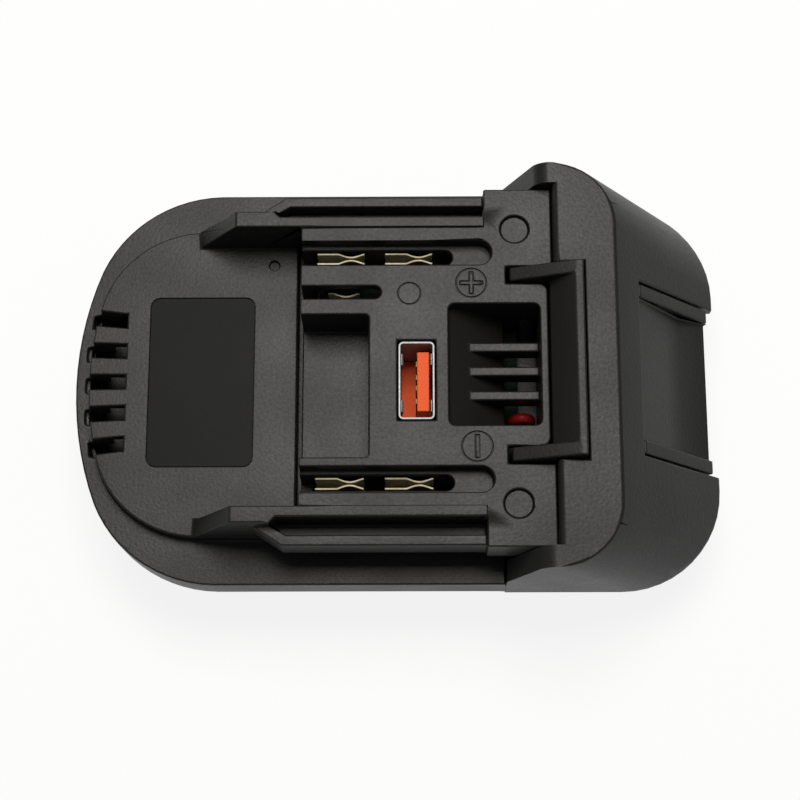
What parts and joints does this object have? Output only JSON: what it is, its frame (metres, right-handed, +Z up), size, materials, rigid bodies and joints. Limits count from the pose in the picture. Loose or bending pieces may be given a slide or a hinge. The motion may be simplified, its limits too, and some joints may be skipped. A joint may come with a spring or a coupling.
{
  "type": "tool battery adapter",
  "caption": "Black moulded adapter with slide rails, sprung release latch and contact slots on top, a USB socket in its deck and a receiver for another battery underneath.",
  "frame": {"origin": "middle of the base, on the face that the adapter stands on", "axes": "+X towards the release button, +Y across the rails, +Z up out of the deck"},
  "size_m": [0.1214, 0.0762, 0.041],
  "materials": {
    "shell": "fine moulded texture, satin black",
    "latch": "smooth satin black",
    "plug": "satin black",
    "label": "smooth black film, bare",
    "steel": "zinc plated",
    "contact": "tin plated, bright",
    "blade": "bright",
    "board": "solder mask",
    "package": "moulded",
    "socket": "nickel plated",
    "tongue": "moulded, orange red",
    "gold": "gold plated",
    "insulator": "moulded",
    "red_lead": "smooth",
    "black_lead": "smooth"
  },
  "bodies": {
    "housing": {"main_body": "shell", "upper_cover": "shell", "screw_plugs": "plug", "label_plate": "label", "latch_spring_left": "steel", "latch_spring_right": "steel", "board_screws": "steel", "terminal_screws": "steel", "housing_screws": "steel", "base_screws": "steel", "positive_fork": "contact", "negative_fork": "contact", "signal_fork": "contact", "positive_blade": "blade", "negative_blade": "blade", "signal_blades": "blade", "main_board": "board", "converter_coil": "package", "power_transistors": "package", "usb_shell": "socket", "usb_tongue": "tongue", "usb_contacts": "gold", "terminal_block": "insulator", "positive_wire": "red_lead", "negative_wire": "black_lead"},
    "latch": {"release_latch": "latch"}
  },
  "joints": [
    {"name": "latch_press", "type": "slide", "parent": "housing", "child": "latch", "axis": [0, 0, -1], "range_m": [0, 0.0045], "stiffness_N_per_m": 1500, "springref_m": -0.004, "deforming": ["latch_spring_left", "latch_spring_right"]}
  ]
}
